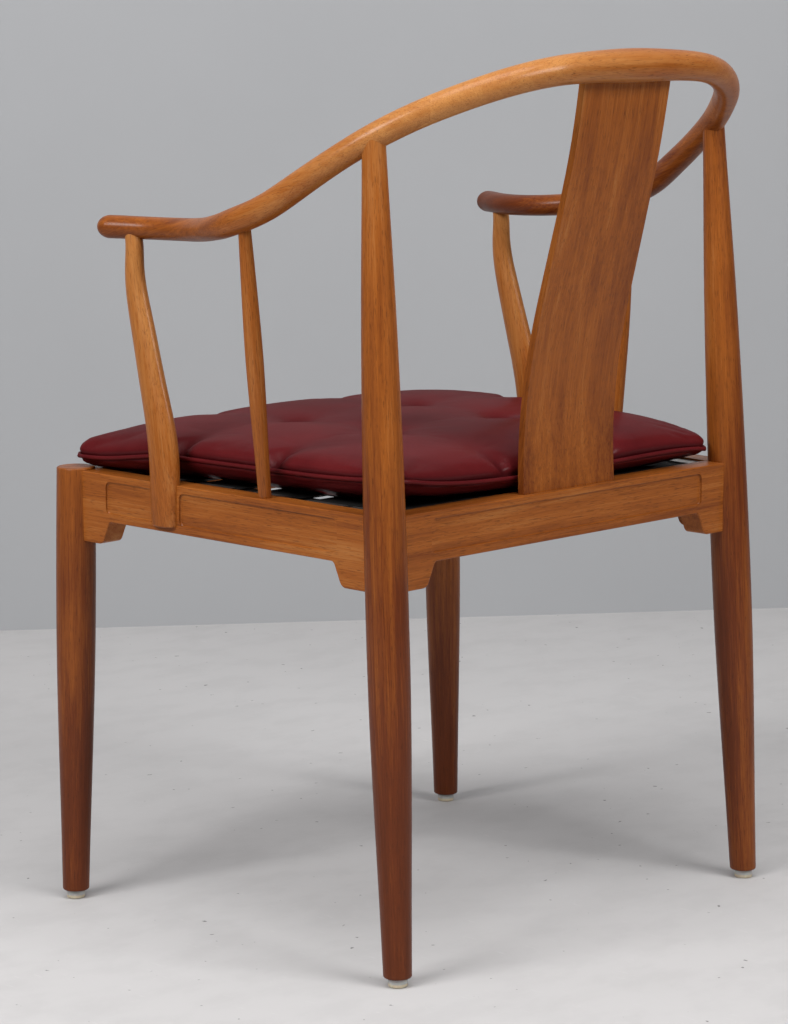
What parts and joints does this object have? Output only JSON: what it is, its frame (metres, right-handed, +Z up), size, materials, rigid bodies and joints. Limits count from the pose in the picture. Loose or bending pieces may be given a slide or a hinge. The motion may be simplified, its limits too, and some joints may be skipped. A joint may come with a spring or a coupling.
{
  "type": "horseshoe back armchair",
  "caption": "Armchair with a curved horseshoe arm and back rail, bent back splat, turned legs, webbed seat and loose tufted leather cushion.",
  "frame": {"origin": "on the floor under the middle of the chair's bounding box", "axes": "+Z up; the chair faces -Y, its back is towards +Y, and +X is the sitter's left"},
  "size_m": [0.5586, 0.517, 0.8197],
  "materials": {
    "rosewood": "satin",
    "webbing": "matte",
    "steel": "satin",
    "glide_plastic": "matte",
    "leather": "satin",
    "foam": "matte"
  },
  "bodies": {
    "frame": {"crest_rail": "rosewood", "arm_rail_left": "rosewood", "arm_rail_right": "rosewood", "rear_leg_left": "rosewood", "rear_leg_right": "rosewood", "front_leg_left": "rosewood", "front_leg_right": "rosewood", "arm_stump_left": "rosewood", "arm_stump_right": "rosewood", "side_spindle_left": "rosewood", "side_spindle_right": "rosewood", "back_splat": "rosewood", "front_seat_rail": "rosewood", "rear_seat_rail": "rosewood", "side_seat_rail_left": "rosewood", "side_seat_rail_right": "rosewood", "webbing_lengthwise": "webbing", "webbing_crosswise": "webbing", "webbing_staples": "steel", "glide_nails": "steel", "front_left_glide": "glide_plastic", "front_right_glide": "glide_plastic", "rear_left_glide": "glide_plastic", "rear_right_glide": "glide_plastic"},
    "cushion": {"cushion_cover_top": "leather", "cushion_cover_bottom": "leather", "cushion_foam": "foam", "cushion_piping": "leather"}
  },
  "joints": [
    {"name": "cushion_lift", "type": "slide", "parent": "frame", "child": "cushion", "axis": [0, -0.9659, 0.2588], "range_m": [0, 0.45]}
  ]
}
